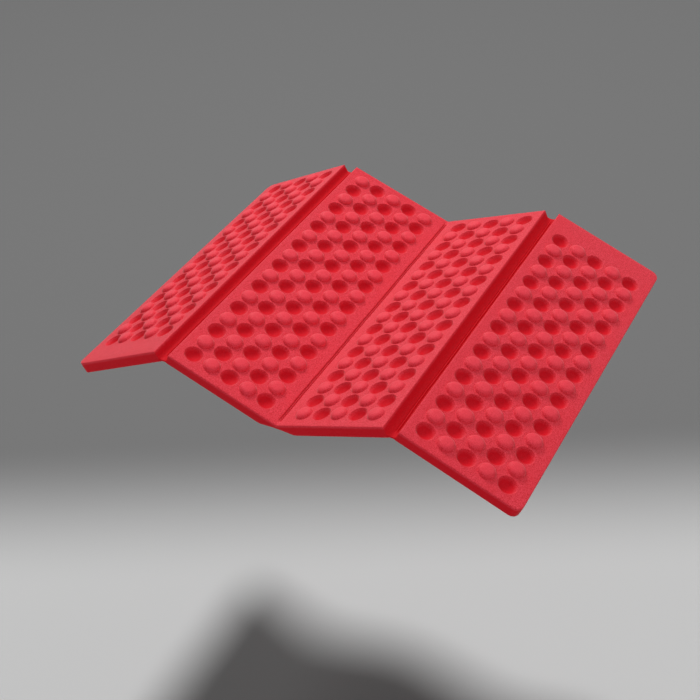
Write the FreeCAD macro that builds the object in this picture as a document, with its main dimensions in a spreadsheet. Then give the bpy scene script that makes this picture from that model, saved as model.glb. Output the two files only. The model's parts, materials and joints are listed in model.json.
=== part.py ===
"""A folding closed-cell foam mat: four moulded panels joined in a zigzag by three living hinges.

Row frame: +X across the folds, +Y along them, +Z up, millimetres. The origin is the middle of the mat's
footprint, on the floor it stands on in its half-open zigzag.

The mat looks the same after half a turn about the vertical, so each side has one inner and one outer panel
of the same two patterns. A panel is drawn lying flat in its own frame: +X away from the fold line it starts
from, the top face at z = 0, and the middle of the mat's length at y = 0.
"""
import FreeCAD
import Part
import math
import os
import sys

from FreeCAD import Placement, Rotation, Vector
from Sketcher import Constraint

Y_AXIS = Vector(0, 1, 0)
Z_AXIS = Vector(0, 0, 1)

SIZES = {
    # the sheet
    "mat_length": 275.0,  # along the folds
    "fold_pitch": 95.0,  # from one fold line to the next
    "outer_reach": 94.5,  # from a ridge fold line to the mat's free edge
    "thickness": 9.0,
    "corner_radius": 6.0,  # at the mat's four corners, seen from above
    "edge_radius": 0.6,  # along the top edges
    # the folds
    "groove_width": 5.4,  # between the walls of a ridge fold, and across the valley's web
    "ridge_web": 1.3,  # foam left at the bottom of a ridge fold
    "valley_web": 3.3,  # foam left under the crease of the valley fold
    "relief_reach": 12.0,  # from the valley line to where the underside is at full thickness again
    "fold_gap": 0.25,  # from a hinge line to the faces that close on each other
    # how far each fold is bent, counted from lying flat
    "left_ridge_fold": 47.8,
    "valley_fold": 42.5,
    "right_ridge_fold": 44.1,
    # the moulded pattern, a checkerboard of bumps and dimples
    "column_pitch": 15.6,
    "row_pitch": 14.6,
    "inner_first_column": 16.8,  # from the valley line
    "outer_first_column": 16.0,  # from the ridge line
    "bump_diameter": 13.1,
    "bump_height": 3.0,
    "dimple_diameter": 13.6,
    "dimple_depth": 3.6,
    "hollow_diameter": 11.0,  # in the underside, under each bump
    "hollow_depth": 2.0,
    "cap_stem": 1.0,  # how far a bump's or dimple's section carries on through the face
}
COLUMNS = 5
INNER_ROWS = 18
OUTER_ROWS = 17  # the outer panels leave the last row out

# the valley side of an inner panel, where the web meets the slope of the relieved underside
RELIEF_SLOPE = "(Sizes.thickness - Sizes.valley_web) / Sizes.relief_reach"
VALLEY_SIDE = f"(Sizes.valley_web + {RELIEF_SLOPE} * Sizes.groove_width / 2)"
SKETCH_GUESS = 50  # rough size of a new outline, before its constraints pull it into shape
TOLERANCE = 0.01

doc = FreeCAD.newDocument("folding_foam_mat")
sheet = doc.addObject("Spreadsheet::Sheet", "Sizes")
for row, (alias, number) in enumerate(SIZES.items(), start=1):
    sheet.set(f"A{row}", alias)
    sheet.set(f"B{row}", str(number))
    sheet.setAlias(f"B{row}", alias)
doc.recompute()


def size(alias):
    return float(sheet.get(alias))


def origin_feature(body, role):
    """One of a body's own origin planes or axes."""
    return next(f for f in body.Origin.OriginFeatures if f.Role == role)


def new_body(label):
    body = doc.addObject("PartDesign::Body", label)
    body.Label = label
    return body


def new_sketch(body, name, plane):
    sketch = body.newObject("Sketcher::SketchObject", name)
    sketch.AttachmentSupport = [(origin_feature(body, plane), "")]
    sketch.MapMode = "FlatFace"
    return sketch


def outline(sketch, corners):
    """A closed polygon with its corners at the given pairs of expressions. "0" puts a corner on the axis."""
    count = len(corners)
    start = [
        Rotation(Z_AXIS, 360 * n / count).multVec(Vector(SKETCH_GUESS, 0, 0))
        for n in range(count)
    ]
    for n in range(count):
        sketch.addGeometry(Part.LineSegment(start[n], start[(n + 1) % count]), False)
    for n in range(count):
        sketch.addConstraint(Constraint("Coincident", n, 2, (n + 1) % count, 1))
    for n, (across, up) in enumerate(corners):
        place_point(sketch, n, 1, across, up, start[n])


def place_point(sketch, curve, end, across, up, start):
    """Ties one end of a curve to an expression across and an expression up, from the sketch's origin."""
    for kind, expression, axis, guess in (
        ("DistanceX", across, -2, start.x),
        ("DistanceY", up, -1, start.y),
    ):
        if expression == "0":
            sketch.addConstraint(Constraint("PointOnObject", curve, end, axis))
        else:
            index = sketch.addConstraint(Constraint(kind, -1, 1, curve, end, guess))
            sketch.setExpression(f"Constraints[{index}]", expression)


def pad_along_folds(body, sketch):
    """Sweeps a cross-section over the mat's whole length, half to each side of the middle."""
    pad = body.newObject("PartDesign::Pad", f"{body.Name}_sheet")
    pad.Profile = sketch
    pad.SideType = "Symmetric"
    pad.setExpression("Length", "Sizes.mat_length")
    doc.recompute()
    return pad


def fillet(body, name, base, wanted, radius):
    """Rounds the edges of base that wanted(edge) picks."""
    edges = [f"Edge{n}" for n, edge in enumerate(base.Shape.Edges, start=1) if wanted(edge)]
    feature = body.newObject("PartDesign::Fillet", name)
    feature.Base = (base, edges)
    feature.setExpression("Radius", radius)
    doc.recompute()
    return feature


def cap(body, name, feature_type, place, diameter, rise, surface, outward):
    """One round cap in a body's face: a bump added to it, or a dimple cut from it.

    The half section is a spherical arc and a short stem that reaches through the face. place is the cap's
    middle as a pair of expressions, surface the height of the face, and outward +1 for a cap that stands up
    and -1 for one that sinks in.
    """
    sketch = new_sketch(body, f"{name}_section", "XZ_Plane")
    sketch.setExpression("AttachmentOffset.Base.x", place[0])
    sketch.setExpression("AttachmentOffset.Base.y", surface)
    sketch.setExpression("AttachmentOffset.Base.z", f"-({place[1]})")
    radius = f"{diameter} / 2"
    tip_height = f"{outward} * {rise}"
    stem_end = f"{-outward} * Sizes.cap_stem"
    # rough places, only to say which way round the section lies
    shoulder, foot = Vector(6, 0, 0), Vector(6, -outward, 0)
    heel, tip = Vector(0, -outward, 0), Vector(0, 3 * outward, 0)
    halfway = Vector(4, 2 * outward, 0)
    sketch.addGeometry(Part.LineSegment(heel, foot), False)
    sketch.addGeometry(Part.LineSegment(foot, shoulder), False)
    sketch.addGeometry(Part.Arc(shoulder, halfway, tip), False)
    sketch.addGeometry(Part.LineSegment(tip, heel), False)
    # Part.Arc always runs anticlockwise in a sketch, so its start is the shoulder of a cap that stands up
    arc_start, arc_end = (1, 2) if outward > 0 else (2, 1)
    sketch.addConstraint(Constraint("Coincident", 0, 2, 1, 1))
    sketch.addConstraint(Constraint("Coincident", 1, 2, 2, arc_start))
    sketch.addConstraint(Constraint("Coincident", 2, arc_end, 3, 1))
    sketch.addConstraint(Constraint("Coincident", 3, 2, 0, 1))
    sketch.addConstraint(Constraint("PointOnObject", 2, 3, -2))
    place_point(sketch, 1, 1, radius, stem_end, foot)
    place_point(sketch, 1, 2, radius, "0", shoulder)
    place_point(sketch, 3, 1, "0", tip_height, tip)
    place_point(sketch, 3, 2, "0", stem_end, heel)
    feature = body.newObject(feature_type, name)
    feature.Profile = sketch
    feature.ReferenceAxis = (sketch, ["V_Axis"])
    feature.Angle = 360
    doc.recompute()
    return feature


def repeat(body, feature, columns, rows):
    """Repeats a cap over every second column and every second row."""
    pattern = body.newObject("PartDesign::LinearPattern", f"{feature.Name}_grid")
    pattern.Originals = [feature]
    pattern.Direction = (origin_feature(body, "X_Axis"), [""])
    pattern.Direction2 = (origin_feature(body, "Y_Axis"), [""])
    pattern.Mode = "Extent"
    pattern.Mode2 = "Extent"
    pattern.Occurrences = columns
    pattern.Occurrences2 = rows
    pattern.setExpression("Length", f"Sizes.column_pitch * 2 * ({columns} - 1)")
    pattern.setExpression("Length2", f"Sizes.row_pitch * 2 * ({rows} - 1)")
    body.Tip = pattern
    doc.recompute()
    return pattern


def checkerboard(body, first_column, rows, dimple_first):
    """Bumps and dimples turn about over the panel, and a hollow lies under each bump.

    dimple_first says whether the cap nearest the fold line and the front end is a dimple.
    """
    for column in (0, 1):
        for row in (0, 1):
            place = (
                f"{first_column} + Sizes.column_pitch * {column}",
                f"Sizes.row_pitch * ({row} - ({INNER_ROWS} - 1) / 2)",
            )
            across = (COLUMNS - column + 1) // 2
            along = (rows - row + 1) // 2
            tag = f"{body.Name}_{column}{row}"
            if ((column + row) % 2 == 0) == dimple_first:
                dimple = cap(body, f"{tag}_dimple", "PartDesign::Groove", place,
                             "Sizes.dimple_diameter", "Sizes.dimple_depth", "0 mm", -1)
                repeat(body, dimple, across, along)
            else:
                bump = cap(body, f"{tag}_bump", "PartDesign::Revolution", place,
                           "Sizes.bump_diameter", "Sizes.bump_height", "0 mm", 1)
                repeat(body, bump, across, along)
                hollow = cap(body, f"{tag}_hollow", "PartDesign::Groove", place,
                             "Sizes.hollow_diameter", "Sizes.hollow_depth", "-Sizes.thickness * 1 mm", 1)
                repeat(body, hollow, across, along)


def on_top_rim(start_edge_too):
    """Picks the top face's outer edges. The edge at the fold line stays square where the web carries on."""
    fold_edge = size("groove_width") / 2

    def wanted(edge):
        box = edge.BoundBox
        on_top = abs(box.ZMin) < TOLERANCE and abs(box.ZMax) < TOLERANCE
        at_fold_line = box.XMax < fold_edge + TOLERANCE
        return on_top and (start_edge_too or not at_fold_line)

    return wanted


def inner_panel(label):
    """From the valley's web to a ridge groove. Its underside is relieved towards the valley."""
    body = new_body(label)
    sketch = new_sketch(body, f"{label}_section", "XZ_Plane")
    start, end = "Sizes.groove_width / 2", "Sizes.fold_pitch - Sizes.groove_width / 2"
    outline(sketch, [
        (start, "0"),
        (start, f"-{VALLEY_SIDE}"),
        ("Sizes.relief_reach", "-Sizes.thickness"),
        (end, "-Sizes.thickness"),
        (end, "0"),
    ])
    sheet_pad = pad_along_folds(body, sketch)
    body.Tip = fillet(body, f"{label}_rim", sheet_pad, on_top_rim(False), "Sizes.edge_radius")
    checkerboard(body, "Sizes.inner_first_column", INNER_ROWS, False)
    return body


def outer_panel(label):
    """From a ridge groove to the mat's free edge, whose two corners are round."""
    body = new_body(label)
    sketch = new_sketch(body, f"{label}_section", "XZ_Plane")
    start, end = "Sizes.groove_width / 2", "Sizes.outer_reach"
    outline(sketch, [
        (start, "0"),
        (start, "-Sizes.thickness"),
        (end, "-Sizes.thickness"),
        (end, "0"),
    ])
    sheet_pad = pad_along_folds(body, sketch)

    def at_corner(edge):
        box = edge.BoundBox
        upright = box.ZLength > size("thickness") - TOLERANCE
        return upright and box.XMin > size("outer_reach") - TOLERANCE

    corners = fillet(body, f"{label}_corners", sheet_pad, at_corner, "Sizes.corner_radius")
    body.Tip = fillet(body, f"{label}_rim", corners, on_top_rim(True), "Sizes.edge_radius")
    checkerboard(body, "Sizes.outer_first_column", OUTER_ROWS, True)
    return body


def ridge_web(label, fold):
    """The thin foam strip at the bottom of a ridge groove, bent through the fold.

    Its own frame has the bend's centre line on the Y axis and the middle of the bend straight above it.
    """
    body = new_body(label)
    sketch = new_sketch(body, f"{label}_section", "YZ_Plane")
    inside = f"Sizes.groove_width / 2 / tan(Sizes.{fold} / 2) + Sizes.fold_gap"
    outside = f"{inside} + Sizes.ridge_web"
    half = "Sizes.mat_length / 2"
    outline(sketch, [(f"-{half}", inside), (half, inside), (half, outside), (f"-{half}", outside)])
    web = body.newObject("PartDesign::Revolution", f"{label}_bend")
    web.Profile = sketch
    web.ReferenceAxis = (sketch, ["H_Axis"])
    web.Midplane = True
    web.setExpression("Angle", f"Sizes.{fold}")
    body.Tip = web
    return body


def valley_web(label):
    """The foam under the valley's crease. Its own frame has the valley's hinge line on the Y axis."""
    body = new_body(label)
    sketch = new_sketch(body, f"{label}_section", "XZ_Plane")
    half_fold = "(Sizes.valley_fold / 2)"
    half_width = "Sizes.groove_width / 2"

    def turned(down):
        """A point of the panel's end face, down below its top, as it stands beside the hinge line."""
        drop = f"({down} + Sizes.fold_gap)"
        return (
            f"({half_width} * cos{half_fold} + {drop} * sin{half_fold})",
            f"({half_width} * sin{half_fold} - {drop} * cos{half_fold})",
        )

    top, low = turned("0"), turned(VALLEY_SIDE)
    crease = f"-Sizes.fold_gap / cos{half_fold}"
    outline(sketch, [
        ("0", crease),
        (f"-{top[0]}", top[1]),
        (f"-{low[0]}", low[1]),
        ("0", f"{crease} - Sizes.valley_web"),
        low,
        top,
    ])
    body.Tip = pad_along_folds(body, sketch)
    return body


def turn_y(degrees):
    return Placement(Vector(), Rotation(Y_AXIS, degrees))


def shift(x, z):
    return Placement(Vector(x, 0, z), Rotation())


def placements(stance):
    """Where each sub-part stands, and the hinge lines, once the valley's hinge line stands at stance."""
    gap, half_turn = size("fold_gap"), Placement(Vector(), Rotation(Z_AXIS, 180))
    under = size("thickness") + gap
    places = {"valley_web": stance}
    hinges = {"valley_fold": stance.Base}
    for side, facing in (("right", Placement()), ("left", half_turn)):
        fold = size(f"{side}_ridge_fold")
        inner = stance * facing * turn_y(-size("valley_fold") / 2) * shift(0, -gap)
        ridge = inner * shift(size("fold_pitch"), -under)
        bend_depth = size("groove_width") / 2 / math.sin(math.radians(fold / 2))
        places[f"{side}_inner_panel"] = inner
        places[f"{side}_ridge_web"] = ridge * turn_y(fold / 2) * shift(0, -bend_depth)
        places[f"{side}_outer_panel"] = ridge * turn_y(fold) * shift(0, under)
        hinges[f"{side}_ridge_fold"] = ridge.Base
    return places, hinges


def level_stance():
    """Turns and lifts the mat until both free bottom edges lie on the floor."""
    places, _ = placements(Placement())
    edge = Vector(size("outer_reach"), 0, -size("thickness"))
    right, left = (places[f"{side}_outer_panel"].multVec(edge) for side in ("right", "left"))
    tilt = turn_y(math.degrees(math.atan2(right.z - left.z, right.x - left.x)))
    return Placement(Vector(0, 0, -tilt.multVec(right).z), Rotation()) * tilt


bodies = {
    "left_outer_panel": outer_panel("left_outer_panel"),
    "left_ridge_web": ridge_web("left_ridge_web", "left_ridge_fold"),
    "left_inner_panel": inner_panel("left_inner_panel"),
    "valley_web": valley_web("valley_web"),
    "right_inner_panel": inner_panel("right_inner_panel"),
    "right_ridge_web": ridge_web("right_ridge_web", "right_ridge_fold"),
    "right_outer_panel": outer_panel("right_outer_panel"),
}
doc.recompute()


def stand(stance):
    places, hinges = placements(stance)
    for label, body in bodies.items():
        body.Placement = places[label]
    doc.recompute()
    return hinges


def footprint():
    box = FreeCAD.BoundBox()
    for body in bodies.values():
        box.add(body.Shape.optimalBoundingBox(False))
    return box


stand(level_stance())
middle = footprint().Center.x
hinge_lines = stand(shift(-middle, 0) * level_stance())

problems = [f"{o.Name}: {o.State}" for o in doc.Objects if "Invalid" in o.State or "Error" in o.State]
for label, body in bodies.items():
    if body.Shape.isNull() or not body.Shape.isValid() or len(body.Shape.Solids) != 1:
        problems.append(f"{label} isn't one valid solid")
if problems:
    sys.exit("\n".join(problems))

os.makedirs("parts", exist_ok=True)
for label, body in bodies.items():
    body.Shape.exportStep(f"parts/{label}.step")
    print(f"{label}: {body.Shape.Volume / 1000:.2f} cm3")
box = footprint()
lengths = f"{box.XLength:.3f} x {box.YLength:.3f} x {box.ZLength:.3f}"
print(f"box {lengths} mm, from {box.XMin:.3f}, {box.YMin:.3f}, {box.ZMin:.3f}")
for name, point in hinge_lines.items():
    print(f"{name}: x {point.x:.6f} z {point.z:.6f} mm")
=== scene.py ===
"""Looks for a folding mat of closed-cell foam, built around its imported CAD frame.

Each panel is drawn lying flat in its own frame, as in the CAD: +X away from the fold line it starts from,
the top face at z = 0 and the middle of the mat's length at y = 0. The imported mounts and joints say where
that frame stands.
"""
import json
import math

import bpy
from mathutils import Matrix, Vector, noise


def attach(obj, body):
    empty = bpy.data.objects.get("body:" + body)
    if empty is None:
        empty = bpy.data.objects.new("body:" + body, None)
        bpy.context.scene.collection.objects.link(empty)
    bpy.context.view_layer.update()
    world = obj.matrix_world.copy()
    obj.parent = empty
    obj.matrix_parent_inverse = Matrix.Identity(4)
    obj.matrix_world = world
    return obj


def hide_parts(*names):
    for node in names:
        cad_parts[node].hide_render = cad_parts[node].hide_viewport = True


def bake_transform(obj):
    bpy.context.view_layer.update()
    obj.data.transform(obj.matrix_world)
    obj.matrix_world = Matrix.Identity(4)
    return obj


MM = 0.001

# the moulded pattern, a checkerboard of bumps and dimples
COLUMNS = 5
ROWS = {"inner": 18, "outer": 17}
FULL_ROWS = ROWS["inner"]
COLUMN_PITCH = 15.6 * MM
ROW_PITCH = 14.6 * MM
FIRST_COLUMN = {"inner": 16.8 * MM, "outer": 16.0 * MM}

# the foam sheet
CORNER_RADIUS = 6.0 * MM  # at the mat's four corners, seen from above
TOP_RADIUS = 0.7 * MM  # along the edges of the top face
LOW_RADIUS = 0.5 * MM  # along the edges of the underside
SOFT_BEND = 0.8 * MM  # how far a change of slope is rounded over
UNEVENNESS = 0.1 * MM
UNEVEN_WAVE = 24 * MM

# the folds
VALLEY_WEB = 3.3 * MM  # foam left under the valley's crease
RELIEF_REACH = 12.0 * MM  # from the valley line to where the underside is at full thickness again
VALLEY_ROUNDING = 0.6  # of the valley web's half width, along the middle of its underside
RIDGE_WEB = 1.3 * MM  # foam left at the bottom of a ridge's groove
ROOT_RADIUS = 2.5 * MM  # where that bottom meets the groove's walls
WEB_TOP_RADIUS = 0.3 * MM  # at a ridge web's two ends
WEB_LOW_RADIUS = 0.4 * MM
WEB_SETBACK = 0.3 * MM  # of a ridge web's ends behind the panels'
WEB_UNEVENNESS = 0.05 * MM
WEB_WAVE = 12 * MM

# the line pressed along each fold: a bead between two fine grooves
VALLEY_CREASE = 1.5 * MM  # the grooves' depth
RIDGE_CREASE = 0.8 * MM
RIDGE_CREASE_PLACE = 0.7 * MM  # from the middle of the web
CREASE_OFFSET = 0.85 * MM  # from the bead's middle to a groove's
CREASE_WIDTH = 0.36 * MM
BEAD_HEIGHT = 0.35 * MM
BEAD_WIDTH = 0.35 * MM
CREASE_ENDS = (3 * MM, 8 * MM)  # from the mat's ends, where it starts and where it is at full depth
SLOW_SWAY = 0.35 * MM
SLOW_WAVE = 30 * MM
QUICK_SWAY = 0.15 * MM
QUICK_WAVE = 9 * MM

# how finely the surfaces are divided
SECTORS = 32  # spots round a bump or dimple, a multiple of 8
MARGIN_STEPS = 4  # from the part filled first out to the edge of the face
ROUND_STEPS = 4  # round the quarter turn of an edge
WEB_STEPS_ACROSS = 26
WEB_STEPS_ALONG = 170
WEB_SIDE_MARGIN = 0.7 * MM
WEB_END_MARGIN = 3 * MM
SHARP_ANGLE = 40  # degrees between faces, above which an edge is drawn sharp
TOLERANCE = 0.1 * MM

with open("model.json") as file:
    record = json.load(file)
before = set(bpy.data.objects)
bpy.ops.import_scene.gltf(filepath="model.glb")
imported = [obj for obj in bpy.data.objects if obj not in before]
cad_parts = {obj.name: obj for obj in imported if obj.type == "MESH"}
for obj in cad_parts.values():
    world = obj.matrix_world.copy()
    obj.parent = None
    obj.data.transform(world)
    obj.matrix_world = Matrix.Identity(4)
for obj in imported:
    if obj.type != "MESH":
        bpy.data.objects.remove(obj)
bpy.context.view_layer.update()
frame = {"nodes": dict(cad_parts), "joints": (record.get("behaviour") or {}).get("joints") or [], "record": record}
hinges = {j["name"]: Vector(j["pos_m"]) for j in frame["joints"]}
mounts = {m["name"]: m for m in frame["record"]["mounts"]}


# ---------------------------------------------------------------- where the panels stand

def axes_matrix(origin, across, up):
    """A frame with the given origin, its X along across and its Z along up."""
    turned = Matrix((across, up.cross(across), up)).transposed().to_4x4()
    turned.translation = origin
    return turned


def panel_frames():
    """Each panel's own frame, by node, then the foam's thickness and how far off it the hinges lie."""
    frames = {}
    valley = hinges["valley_fold"]
    for side, facing in (("left", -1), ("right", 1)):
        ridge = hinges[f"{side}_ridge_fold"]
        under = Vector(mounts[f"{side}_inner_underside"]["pos_m"])
        down = Vector(mounts[f"{side}_inner_underside"]["axis"])
        gap = (ridge - under).dot(down)
        thickness = (under - valley).dot(down) - gap
        for part, pivot, height in (("inner", valley, gap), ("outer", ridge, -thickness - gap)):
            up = -Vector(mounts[f"{side}_{part}_underside"]["axis"]).normalized()
            across = Vector((up.z, 0, -up.x)) * facing
            frames[f"{side}_{part}_panel"] = axes_matrix(pivot - up * height, across, up)
    return frames, thickness, gap


PANELS, THICKNESS, HINGE_GAP = panel_frames()


def reach(node):
    """How near and how far along its own X a panel's CAD solid reaches, and half its length."""
    to_panel = PANELS[node].inverted()
    spots = [to_panel @ v.co for v in frame["nodes"][node].data.vertices]
    across = [p.x for p in spots]
    return min(across), max(across), max(p.y for p in spots)


# ---------------------------------------------------------------- surfaces

class Skin:
    """A closed surface that grows face by face, lying flat. Corners that fall on one spot are shared."""

    def __init__(self):
        self.corners = []
        self.faces = []
        self.known = {}

    def corner(self, spot):
        key = tuple(round(c, 7) for c in spot)
        if key not in self.known:
            self.known[key] = len(self.corners)
            self.corners.append(spot)
        return self.known[key]

    def face(self, *spots):
        loop = []
        for spot in spots:
            index = self.corner(spot)
            if index not in loop:
                loop.append(index)
        if len(loop) > 2:
            self.faces.append(loop)

    def band(self, outer, inner):
        """Faces between two rings of spots, the outer one walked anticlockwise round the way they face."""
        for n, (a, d) in enumerate(zip(outer, inner)):
            m = (n + 1) % len(outer)
            self.face(a, outer[m], inner[m], d)

    def fan(self, ring, middle):
        for n, spot in enumerate(ring):
            self.face(spot, ring[(n + 1) % len(ring)], middle)

    def to_object(self, name, place, material):
        """A Blender object, its corners moved by place(spot). It keeps where each one lay when flat."""
        mesh = bpy.data.meshes.new(name)
        mesh.from_pydata([place(Vector(c)) for c in self.corners], [], self.faces)
        flat = mesh.attributes.new("flat_place", "FLOAT_VECTOR", "POINT")
        flat.data.foreach_set("vector", [c for corner in self.corners for c in corner])
        mesh.polygons.foreach_set("use_smooth", [True] * len(mesh.polygons))
        mesh.set_sharp_from_angle(angle=math.radians(SHARP_ANGLE))
        mesh.materials.append(material)
        piece = bpy.data.objects.new(name, mesh)
        bpy.context.scene.collection.objects.link(piece)
        return piece


def soft_max(a, b, width):
    """The larger of two numbers, with the corner between them rounded over about width."""
    near = max(width - abs(a - b), 0) / width
    return max(a, b) + near * near * width / 4


def smooth_step(low, high, x):
    share = min(max((x - low) / (high - low), 0), 1)
    return share * share * (3 - 2 * share)


def ripple(x, y, size, seed):
    """Slow unevenness, from -1 to 1, with waves about size long."""
    return noise.noise(Vector((x / size, y / size, seed)))


class Relief:
    """The round shape of a bump, dimple or hollow: how far the face rises, by distance from its middle."""

    WALL = 1.04  # where the dome would stand upright, in radii
    RIM_STEPS = (1.0, 0.4, 0.0, -0.4, -0.8, -1.4)  # rings near the outline, in rims out from it
    RIM_BLEND = 0.9  # how much of the rim the face's turn into the dome takes up

    def __init__(self, diameter, rise, fullness, rim, rings):
        self.wall = diameter / 2 * self.WALL
        self.rise = rise
        self.fullness = fullness
        self.rim = rim
        self.base = self.dome(1 / self.WALL)
        rim_radii = [diameter / 2 + rim * step for step in self.RIM_STEPS]
        inner = rim_radii[-1]
        self.radii = rim_radii + [inner * math.cos(math.pi / 2 * n / rings) for n in range(1, rings)]

    def dome(self, share):
        power, root = self.fullness
        return (1 - min(share, 1) ** power) ** root

    def at(self, distance):
        height = (self.dome(distance / self.wall) - self.base) / (1 - self.base)
        return math.copysign(soft_max(height * abs(self.rise), 0, self.RIM_BLEND * self.rim), self.rise)


BUMP = Relief(diameter=13.0 * MM, rise=3.0 * MM, fullness=(3.8, 0.5), rim=0.3 * MM, rings=6)
DIMPLE = Relief(diameter=14.1 * MM, rise=-3.6 * MM, fullness=(2.2, 0.7), rim=0.22 * MM, rings=6)
HOLLOW = Relief(diameter=11.0 * MM, rise=2.0 * MM, fullness=(2.2, 0.6), rim=0.6 * MM, rings=3)


def sector_angle(n):
    """Sector 0 points at a cell's back right corner."""
    return math.radians(45) + 2 * math.pi * n / SECTORS


def cell_edge(n):
    """The spot where sector n meets the edge of a cell, from the cell's middle."""
    c, s = math.cos(sector_angle(n)), math.sin(sector_angle(n))
    most = max(abs(c), abs(s))
    return c / most * COLUMN_PITCH / 2, s / most * ROW_PITCH / 2


def fill_cell(skin, centre, relief, height, upward):
    """One cell of the pattern, from its edge in to its middle. height(x, y) is the face without relief."""
    edge = [cell_edge(n) for n in range(SECTORS)]
    if relief:
        rings = [
            [(r * math.cos(sector_angle(n)), r * math.sin(sector_angle(n))) for n in range(SECTORS)]
            for r in relief.radii
        ]
    else:
        rings = [[(x / 2, y / 2) for x, y in edge]]
    between = [((a + c) / 2, (b + d) / 2) for (a, b), (c, d) in zip(edge, rings[0])]

    def spot(x, y):
        rise = relief.at(math.hypot(x, y)) if relief else 0
        return centre[0] + x, centre[1] + y, height(centre[0] + x, centre[1] + y) + rise

    rows = [[spot(x, y) for x, y in ring] for ring in [edge, between] + rings]
    if not upward:
        rows = [row[::-1] for row in rows]
    for outer, inner in zip(rows, rows[1:]):
        skin.band(outer, inner)
    skin.fan(rows[-1], spot(0, 0))


def edge_spots(first, pitch, count):
    """Where the sectors of a row of cells meet the row's edge, from one end of the row to the other."""
    eighth = SECTORS // 8
    stops = [math.tan(math.pi / 4 * n / eighth) / 2 for n in range(-eighth, eighth)]
    spots = [first + (cell + stop) * pitch for cell in range(count) for stop in stops]
    return spots + [first + (count - 0.5) * pitch]


def fill_grid(skin, xs, ys, height, upward):
    for x0, x1 in zip(xs, xs[1:]):
        for y0, y1 in zip(ys, ys[1:]):
            loop = [(x, y, height(x, y)) for x, y in ((x0, y0), (x1, y0), (x1, y1), (x0, y1))]
            skin.face(*(loop if upward else loop[::-1]))


def around(xs, ys):
    """The spots round a grid's edge, anticlockwise from the front left one, side by side."""
    front = [(x, ys[0]) for x in xs[:-1]]
    right = [(xs[-1], y) for y in ys[:-1]]
    back = [(x, ys[-1]) for x in xs[:0:-1]]
    left = [(xs[0], y) for y in ys[:0:-1]]
    return front, right, back, left


class Face:
    """One of a slab's two broad faces: its height across, and a fine detail that fades out at the rim."""

    def __init__(self, base, detail, radius):
        self.base = base
        self.detail = detail
        self.radius = radius

    def height(self, x, y, calm=1.0):
        return self.base(x) + self.detail(x, y) * calm


def close_slab(skin, block, rim, top, low):
    """All that lies outside the block already filled: the two margins and the rounded wall between them.

    The rim has a spot for each spot round the block, with the way it draws in to meet the two faces.
    """
    def margin(face, sign):
        """Rings from the block out to the face's edge."""
        edge = [(x - d[0] * face.radius, y - d[1] * face.radius) for x, y, d in rim[sign]]
        rings = []
        for step in range(MARGIN_STEPS + 1):
            share = step / MARGIN_STEPS
            ring = [(a + (c - a) * share, b + (d - b) * share) for (a, b), (c, d) in zip(block, edge)]
            rings.append([(x, y, face.height(x, y, min(2 - 2 * share, 1))) for x, y in ring])
        return rings

    def rounded(face, sign):
        """Rings round a quarter turn, from the face's edge to the upright wall."""
        rings = []
        for step in range(1, ROUND_STEPS + 1):
            turn = math.pi / 2 * step / ROUND_STEPS
            inset, drop = face.radius * (1 - math.sin(turn)), face.radius * (1 - math.cos(turn))
            ring = [(x - d[0] * inset, y - d[1] * inset) for x, y, d in rim[sign]]
            rings.append([(x, y, face.base(x) - sign * drop) for x, y in ring])
        return rings

    upper = margin(top, 1) + rounded(top, 1)
    lower = margin(low, -1) + rounded(low, -1)
    middle = [
        [tuple(a[i] + (b[i] - a[i]) * share for i in range(3)) for a, b in zip(upper[-1], lower[-1])]
        for share in (1 / 3, 2 / 3)
    ]
    rings = upper + middle + lower[::-1]
    for inside, outside in zip(rings, rings[1:]):
        skin.band(outside, inside)


# ---------------------------------------------------------------- panels

class Outline:
    """A panel seen from above, anticlockwise: a rectangle whose two far corners may be round.

    Each side runs from the middle of one corner to the middle of the next.
    """

    def __init__(self, near_x, far_x, half_length, radius):
        self.corners = [
            (near_x, -half_length, 0),
            (far_x, -half_length, radius),
            (far_x, half_length, radius),
            (near_x, half_length, 0),
        ]

    def walk(self, side, share):
        """The spot at a share of a side, and the way the edge faces there. Side 0 is the front one."""
        ax, ay, a_radius = self.corners[side]
        bx, by, b_radius = self.corners[(side + 1) % 4]
        length = math.hypot(bx - ax, by - ay)
        ahead = Vector(((bx - ax) / length, (by - ay) / length))
        out = Vector((ahead.y, -ahead.x))
        a_arc, b_arc = a_radius * math.pi / 4, b_radius * math.pi / 4
        total = a_arc + length - a_radius - b_radius + b_arc
        gone, left = share * total, (1 - share) * total
        start, end = Vector((ax, ay)), Vector((bx, by))
        if gone < a_arc:
            turn = gone / a_radius - math.pi / 4
            centre, radius = start + (ahead - out) * a_radius, a_radius
        elif left < b_arc:
            turn = math.pi / 4 - left / b_radius
            centre, radius = end - (ahead + out) * b_radius, b_radius
        else:
            return start + ahead * (a_radius + gone - a_arc), out
        facing = out * math.cos(turn) + ahead * math.sin(turn)
        return centre + facing * radius, facing


def foam_depth(part, x):
    """How thick a panel is at a distance from its fold line: an inner one is relieved under the valley."""
    if part == "outer":
        return THICKNESS
    sloped = VALLEY_WEB + (THICKNESS - VALLEY_WEB) / RELIEF_REACH * x
    return -soft_max(-THICKNESS, -sloped, SOFT_BEND)


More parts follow.
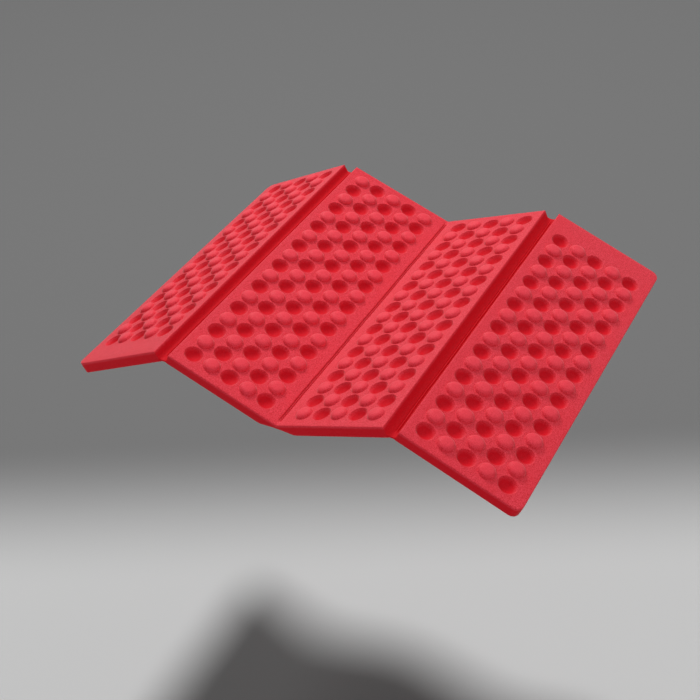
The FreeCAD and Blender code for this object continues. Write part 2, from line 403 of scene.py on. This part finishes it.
def panel_rim(part, near_x, far_x, half_length, sides):
    """The rim for close_slab, walked side by side in step with the block's sides."""
    outline = Outline(near_x, far_x, half_length, CORNER_RADIUS if part == "outer" else 0)
    rim = {1: [], -1: []}
    for side, spots in enumerate(sides):
        for n in range(len(spots)):
            (x, y), facing = outline.walk(side, n / len(spots))
            draw_x, draw_y = facing
            near, far = x < near_x + TOLERANCE, x > far_x - TOLERANCE
            if n == 0 and outline.corners[side][2] == 0:
                draw_x, draw_y = (1 if far else -1), math.copysign(1, y)
            grooved = near if part == "outer" else far
            valley = near and part == "inner"
            rim[1].append((x, y, (0 if valley else draw_x, draw_y)))
            rim[-1].append((x, y, (0 if valley or grooved else draw_x, draw_y)))
    return rim


def panel_skin(part, near_x, far_x, half_length):
    """The closed surface of a panel, in its own frame."""
    skin = Skin()
    rows, first_x = ROWS[part], FIRST_COLUMN[part]
    first_y = -ROW_PITCH * (FULL_ROWS - 1) / 2
    top = Face(lambda x: 0, lambda x, y: UNEVENNESS * ripple(x, y, UNEVEN_WAVE, seed=0.3), TOP_RADIUS)
    low = Face(
        lambda x: -foam_depth(part, x),
        lambda x, y: UNEVENNESS * ripple(x, y, UNEVEN_WAVE, seed=5.3),
        LOW_RADIUS,
    )
    for column in range(COLUMNS):
        for row in range(rows):
            centre = (first_x + column * COLUMN_PITCH, first_y + row * ROW_PITCH)
            bump = (column + row) % 2 == (0 if part == "inner" else 1)
            fill_cell(skin, centre, BUMP if bump else DIMPLE, top.height, True)
            fill_cell(skin, centre, HOLLOW if bump else None, low.height, False)
    sides = around(edge_spots(first_x, COLUMN_PITCH, COLUMNS), edge_spots(first_y, ROW_PITCH, rows))
    block = [spot for side in sides for spot in side]
    close_slab(skin, block, panel_rim(part, near_x, far_x, half_length, sides), top, low)
    return skin


# ---------------------------------------------------------------- webs

def bell(x):
    return math.exp(-x * x)


def crease_line(s, y, middle, depth, half_length):
    """A thin bead between two fine grooves, swaying a little, that stops short of the mat's ends."""
    sway = SLOW_SWAY * ripple(0, y, SLOW_WAVE, seed=2.7) + QUICK_SWAY * ripple(0, y, QUICK_WAVE, seed=7.1)
    off = abs(s - middle - sway)
    grooves = -depth * bell((off - CREASE_OFFSET) / CREASE_WIDTH)
    bead = BEAD_HEIGHT * bell(off / BEAD_WIDTH)
    return (grooves + bead) * smooth_step(*CREASE_ENDS, half_length - abs(y))


def even_steps(half, count):
    return [half * (2 * n / count - 1) for n in range(count + 1)]


def web_skin(half_width, half_length, top, low):
    """A strip as a closed slab. Only its two ends are rounded, since its long sides meet the panels."""
    skin = Skin()
    xs = even_steps(half_width - WEB_SIDE_MARGIN, WEB_STEPS_ACROSS)
    ys = even_steps(half_length - WEB_END_MARGIN, WEB_STEPS_ALONG)
    fill_grid(skin, xs, ys, top.height, True)
    fill_grid(skin, xs, ys, low.height, False)
    block, rim = [], []
    for side in around(xs, ys):
        for x, y in side:
            out_x, out_y = x / xs[-1] * half_width, y / ys[-1] * half_length
            at_end = abs(y) > ys[-1] - TOLERANCE
            block.append((x, y))
            rim.append((out_x, out_y, (0, math.copysign(1, y) if at_end else 0)))
    close_slab(skin, block, {1: rim, -1: rim}, top, low)
    return skin


class Fold:
    """A fold's cross-section, in its hinge's own plane: +u to the right, and +v up between the panels."""

    def __init__(self, joint, left_node, right_node, half_width):
        self.hinge = hinges[joint]
        left_up, right_up = (PANELS[node].col[2].xyz for node in (left_node, right_node))
        self.up = (left_up + right_up).normalized()
        self.right = Vector((self.up.z, 0, -self.up.x))
        self.half_turn = left_up.angle(right_up) / 2
        self.half_width = half_width

    def point(self, u, v, y):
        return self.hinge + self.right * u + self.up * v + Vector((0, y, 0))


class RidgeFold(Fold):
    """Two panels' undersides close under a ridge, so its web is a bent strip at their groove's bottom.

    Lying flat, the web's faces have the same heights that they have in the panels' frames.
    """

    def radius(self, z):
        """Of the bent strip's arc, at a height in the panels' frames."""
        return self.half_width / math.tan(self.half_turn) + HINGE_GAP + THICKNESS + z

    def place(self, spot):
        turn = self.half_turn * spot.x / self.half_width
        radius = self.radius(spot.z)
        centre = -self.half_width / math.sin(self.half_turn)
        return self.point(radius * math.sin(turn), centre + radius * math.cos(turn), spot.y)

    def root(self, x):
        """The groove's bottom, rounded up into the walls on both sides."""
        off = max(ROOT_RADIUS - (self.half_width - abs(x)), 0)
        return RIDGE_WEB - THICKNESS + ROOT_RADIUS - math.sqrt(max(ROOT_RADIUS**2 - off**2, 0))

    def faces(self, half_length):
        top = Face(
            self.root,
            lambda s, y: crease_line(s, y, RIDGE_CREASE_PLACE, RIDGE_CREASE, half_length),
            WEB_TOP_RADIUS,
        )
        low = Face(
            lambda x: -THICKNESS,
            lambda s, y: WEB_UNEVENNESS * ripple(s, y, WEB_WAVE, seed=3.3),
            WEB_LOW_RADIUS,
        )
        return top, low

    def edge(self, side):
        """Where the web joins the panel on one side."""
        return self.place(Vector((side * self.half_width, 0, -THICKNESS)))


class ValleyFold(Fold):
    """Two panels' top faces run into a valley's crease, and its web fills the foam between their ends."""

    def section(self, x):
        """The top and the bottom of the web's section."""
        share = x / self.half_width
        c, s = math.cos(self.half_turn), math.sin(self.half_turn)
        u = (self.half_width * c + HINGE_GAP * s) * share
        top = Vector((u, s / c * soft_max(u, -u, SOFT_BEND) - HINGE_GAP / c))
        deep = foam_depth("inner", self.half_width) + HINGE_GAP
        end = Vector((self.half_width * c + deep * s, self.half_width * s - deep * c))
        middle = -HINGE_GAP / c - VALLEY_WEB
        low = Vector((end.x * share, middle + (end.y - middle) * soft_max(share, -share, VALLEY_ROUNDING)))
        return top, low

    def place(self, spot):
        top, low = self.section(spot.x)
        ahead = top + (top - low).normalized() * spot.z
        return self.point(ahead.x, ahead.y, spot.y)

    def thickness(self, x):
        top, low = self.section(x)
        return (top - low).length

    def faces(self, half_length):
        top = Face(lambda x: 0, lambda s, y: crease_line(s, y, 0, VALLEY_CREASE, half_length), TOP_RADIUS)
        low = Face(lambda x: -self.thickness(x), lambda s, y: 0, LOW_RADIUS)
        return top, low

    def edge(self, side):
        return self.place(Vector((side * self.half_width, 0, 0)))


# ---------------------------------------------------------------- foam

# colours are linear
SKIN_DARK = (0.58, 0.001, 0.007)
SKIN_PALE = (0.88, 0.054, 0.092)
MOTTLE = (0.80, 0.016, 0.034)
PAINTED_HIGHLIGHT = (0.92, 0.050, 0.080)  # painted highlight on the bumps
MOULDED_PAINTED_SHADE = (0.60, 0.002, 0.010)  # painted shade in the dimples and hollows, and wherever the foam lies well below the top face
PRESSED_PAINTED_SHADE = (0.58, 0.002, 0.008)  # painted shade in the grooves
# noises, in cells per metre
GRAIN_SCALE = 1500
PORE_SCALE = 1400
DULL_SCALE = 500
MOTTLE_SCALE = 45
GRAIN_RANGE = (0.34, 0.66)  # the values of a noise that are spread out
NOISE_RANGE = (0.3, 0.7)
# heights above the panel's face, over which the painted shade and the painted highlight come in
PAINTED_SHADE_RANGE = (-0.1 * MM, -2.4 * MM)
PAINTED_HIGHLIGHT_RANGE = (1.0 * MM, 2.8 * MM)
# how much of a colour shows at most
MOTTLE_SHARE = 0.35
PAINTED_SHADE_SHARE = 0.85
PAINTED_HIGHLIGHT_SHARE = 0.5
# the skin
ROUGHNESS = (0.60, 0.74)
GLOSS = (0.24, 0.06)  # on the face, and deep in the relief
SHEEN_ROUGHNESS = 0.4
PORE_DEPTH = 0.25 * MM


class Graph:
    """A material's or the world's nodes, added one at a time. Most methods give the new node's output."""

    COLOUR_A, COLOUR_B, COLOUR_OUT = 6, 7, 2  # a mix node's colour sockets, whose names aren't theirs alone

    def __init__(self, owner):
        owner.use_nodes = True
        self.nodes = owner.node_tree.nodes
        self.links = owner.node_tree.links

    def feed(self, value, node, *inputs):
        """Gives inputs of a node an output, a number or a colour."""
        for name in inputs:
            socket = node.inputs[name]
            if isinstance(value, bpy.types.NodeSocket):
                self.links.new(value, socket)
            elif isinstance(value, tuple):
                socket.default_value = (*value, 1)
            else:
                socket.default_value = value

    def noise(self, place, scale, detail):
        made = self.nodes.new("ShaderNodeTexNoise")
        self.feed(place, made, "Vector")
        self.feed(scale, made, "Scale")
        self.feed(detail, made, "Detail")
        return made.outputs["Fac"]

    def spread(self, value, old, new, smooth=False):
        """A value that runs from new[0] to new[1] while the given one runs from old[0] to old[1]."""
        made = self.nodes.new("ShaderNodeMapRange")
        made.interpolation_type = "SMOOTHSTEP" if smooth else "LINEAR"
        self.feed(value, made, "Value")
        for name, number in zip(("From Min", "From Max", "To Min", "To Max"), (*old, *new)):
            self.feed(number, made, name)
        return made.outputs["Result"]

    def mix(self, share, first, second):
        """A colour between two others."""
        made = self.nodes.new("ShaderNodeMix")
        made.data_type = "RGBA"
        self.feed(share, made, "Factor")
        self.feed(first, made, self.COLOUR_A)
        self.feed(second, made, self.COLOUR_B)
        return made.outputs[self.COLOUR_OUT]

    def up(self, vector):
        """A vector's Z."""
        made = self.nodes.new("ShaderNodeSeparateXYZ")
        self.feed(vector, made, "Vector")
        return made.outputs["Z"]

    def along(self, vector, way):
        """How far a vector reaches along a way."""
        made = self.nodes.new("ShaderNodeVectorMath")
        made.operation = "DOT_PRODUCT"
        made.inputs[1].default_value = way
        self.feed(vector, made, 0)
        return made.outputs["Value"]

    def flat_place(self):
        """Where a spot lay before its piece was put in place."""
        made = self.nodes.new("ShaderNodeAttribute")
        made.attribute_name = "flat_place"
        return made.outputs["Vector"]

    def pores(self, place, strength):
        """The surface's normal, roughened by fine pores."""
        made = self.nodes.new("ShaderNodeBump")
        self.feed(strength, made, "Strength")
        self.feed(PORE_DEPTH, made, "Distance")
        self.feed(self.noise(place, PORE_SCALE, 2), made, "Height")
        return made.outputs["Normal"]


def foam(name, pore_strength, painted_shade_colour):
    """Red closed-cell foam: a fine grain, a faint mottle, paler on the bumps by painted highlight and deeper in
    the dimples by painted shade.
    """
    material = bpy.data.materials.new(name)
    graph = Graph(material)
    place = graph.nodes.new("ShaderNodeTexCoord").outputs["Object"]
    height = graph.up(graph.flat_place())
    grain = graph.spread(graph.noise(place, GRAIN_SCALE, 3), GRAIN_RANGE, (0, 1))
    patches = graph.spread(graph.noise(place, MOTTLE_SCALE, 2), NOISE_RANGE, (0, MOTTLE_SHARE))
    # painted shade: a deeper red the further a spot lies below the top face, in dimples, grooves, down the walls
    # and under the mat
    deep = graph.spread(height, PAINTED_SHADE_RANGE, (0, PAINTED_SHADE_SHARE))
    # painted highlight: paler, pinker colour over the bumps' upper parts, standing in for light on them
    painted_highlight = graph.spread(height, PAINTED_HIGHLIGHT_RANGE, (0, PAINTED_HIGHLIGHT_SHARE))
    dullness = graph.spread(graph.noise(place, DULL_SCALE, 2), NOISE_RANGE, ROUGHNESS)

    colour = graph.mix(grain, SKIN_DARK, SKIN_PALE)
    colour = graph.mix(patches, colour, MOTTLE)
    colour = graph.mix(deep, colour, painted_shade_colour)
    colour = graph.mix(painted_highlight, colour, PAINTED_HIGHLIGHT)

    surface = graph.nodes["Principled BSDF"]
    graph.feed(colour, surface, "Base Color")
    graph.feed(dullness, surface, "Roughness")
    graph.feed(graph.spread(deep, (0, PAINTED_SHADE_SHARE), GLOSS), surface, "Specular IOR Level", "Sheen Weight")
    graph.feed(SHEEN_ROUGHNESS, surface, "Sheen Roughness")
    graph.feed(graph.pores(place, pore_strength), surface, "Normal")
    return material


# ---------------------------------------------------------------- pieces

moulded = foam("moulded_foam", pore_strength=0.5, painted_shade_colour=MOULDED_PAINTED_SHADE)
pressed = foam("pressed_foam", pore_strength=0.2, painted_shade_colour=PRESSED_PAINTED_SHADE)


def add_panel(side, part):
    node = f"{side}_{part}_panel"
    skin = panel_skin(part, *reach(node))
    piece = skin.to_object(f"{node}_foam", lambda spot: PANELS[node] @ spot, moulded)
    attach(piece, f"{side}_{part}")
    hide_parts(node)


def add_web(kind, name, left, right, setback):
    """The web of a fold between the left and the right body, drawn bent as the fold stands."""
    half_width, _, half_length = reach("right_outer_panel")  # a panel starts where its fold's web ends
    half_length -= setback
    fold = kind(f"{name}_fold", f"{left}_panel", f"{right}_panel", half_width)
    skin = web_skin(half_width, half_length, *fold.faces(half_length))
    piece = skin.to_object(f"{name}_web_foam", fold.place, pressed)
    fold.edge(-1)
    fold.edge(1)
    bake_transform(piece)
    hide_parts(f"{name}_web")


for side in ("left", "right"):
    for part in ("outer", "inner"):
        add_panel(side, part)

add_web(RidgeFold, "left_ridge", "left_outer", "left_inner", WEB_SETBACK)
add_web(ValleyFold, "valley", "left_inner", "right_inner", 0)
add_web(RidgeFold, "right_ridge", "right_inner", "right_outer", WEB_SETBACK)


# ---------------------------------------------------------------- floor, light and camera

# the photograph's viewpoint, in degrees and metres
VIEW_AZIMUTH = 33.46
VIEW_ELEVATION = 39.29
VIEW_ROLL = -6.4
VIEW_DISTANCE = 0.9065
AIM = Vector((-0.011, -0.019, -0.012))
LENS = 60
SENSOR = 36

# the floor, in metres. Its colour carries painted shade and is paler towards the viewpoint, measured from under
# the mat
FLOOR_DROP = 0.34
FLOOR_HALF_SIZE = 60
FLOOR_RAMP = (-0.24, -0.03)
FLOOR_RAMP_AZIMUTH = VIEW_AZIMUTH - 6
FLOOR_PAINTED_SHADE = (0.036, 0.036, 0.036)
FLOOR_PALE = (0.108, 0.108, 0.108)
FLOOR_ROUGHNESS = 0.9

SKY_LOW = (0.13, 0.13, 0.13)
SKY_HIGH = (0.50, 0.50, 0.50)


def heading(azimuth, elevation):
    a, e = math.radians(azimuth), math.radians(elevation)
    return Vector((math.sin(a) * math.cos(e), -math.cos(a) * math.cos(e), math.sin(e)))


def aimed(data, place, target, roll=0):
    made = bpy.data.objects.new(data.name, data)
    turn = (target - place).to_track_quat("-Z", "Y").to_matrix().to_4x4()
    made.matrix_world = Matrix.Translation(place) @ turn @ Matrix.Rotation(math.radians(roll), 4, "Z")
    bpy.context.scene.collection.objects.link(made)
    return made


def area_light(name, azimuth, elevation, distance, size, power):
    data = bpy.data.lights.new(name, "AREA")
    data.shape = "DISK"
    data.size = size
    data.energy = power
    return aimed(data, AIM + heading(azimuth, elevation) * distance, AIM)


def floor_light(ground, azimuth, elevation, softness, strength):
    """A sun that shines on the floor only, for a shadow that doesn't change how the mat is lit."""
    data = bpy.data.lights.new("floor_light", "SUN")
    data.energy = strength
    data.angle = math.radians(softness)
    lit = bpy.data.collections.new("floor_only")
    lit.objects.link(ground)
    light = aimed(data, AIM + heading(azimuth, elevation), AIM)
    light.light_linking.receiver_collection = lit


def floor():
    """A pale floor whose colour is darkened away from the camera's viewpoint by painted shade."""
    material = bpy.data.materials.new("floor")
    graph = Graph(material)
    place = graph.nodes.new("ShaderNodeNewGeometry").outputs["Position"]
    nearness = graph.along(place, heading(FLOOR_RAMP_AZIMUTH, 0))
    painted_light_share = graph.spread(nearness, FLOOR_RAMP, (0, 1), smooth=True)
    surface = graph.nodes["Principled BSDF"]
    # painted shade: the floor's colour runs from pale near the viewpoint to dark far from it
    graph.feed(graph.mix(painted_light_share, FLOOR_PAINTED_SHADE, FLOOR_PALE), surface, "Base Color")
    graph.feed(FLOOR_ROUGHNESS, surface, "Roughness")
    graph.feed(0, surface, "Specular IOR Level")
    mesh = bpy.data.meshes.new("floor")
    half = FLOOR_HALF_SIZE
    corners = [(x * half, y * half, -FLOOR_DROP) for x, y in ((-1, -1), (1, -1), (1, 1), (-1, 1))]
    mesh.from_pydata(corners, [], [(0, 1, 2, 3)])
    mesh.materials.append(material)
    made = bpy.data.objects.new("floor", mesh)
    bpy.context.scene.collection.objects.link(made)
    return made


def sky():
    """Soft light from all round, brightest from straight above."""
    world = bpy.data.worlds.new("studio")
    graph = Graph(world)
    way = graph.nodes.new("ShaderNodeTexCoord").outputs["Generated"]
    high = graph.spread(graph.up(way), (0, 1), (0, 1), smooth=True)
    graph.feed(graph.mix(high, SKY_LOW, SKY_HIGH), graph.nodes["Background"], "Color")
    bpy.context.scene.world = world


def camera():
    lens = bpy.data.cameras.new("camera")
    lens.lens = LENS
    lens.sensor_width = SENSOR
    eye = AIM + heading(VIEW_AZIMUTH, VIEW_ELEVATION) * VIEW_DISTANCE
    return aimed(lens, eye, AIM, VIEW_ROLL)


ground = floor()
area_light("key_light", azimuth=226, elevation=46, distance=1.7, size=0.5, power=17.5)
area_light("right_light", azimuth=138, elevation=44, distance=2.0, size=1.2, power=9)
area_light("front_light", azimuth=25, elevation=18, distance=1.8, size=1.4, power=6)
floor_light(ground, azimuth=192, elevation=62, softness=10, strength=15)
sky()
bpy.context.scene.view_settings.view_transform = "Standard"
bpy.context.scene.camera = camera()
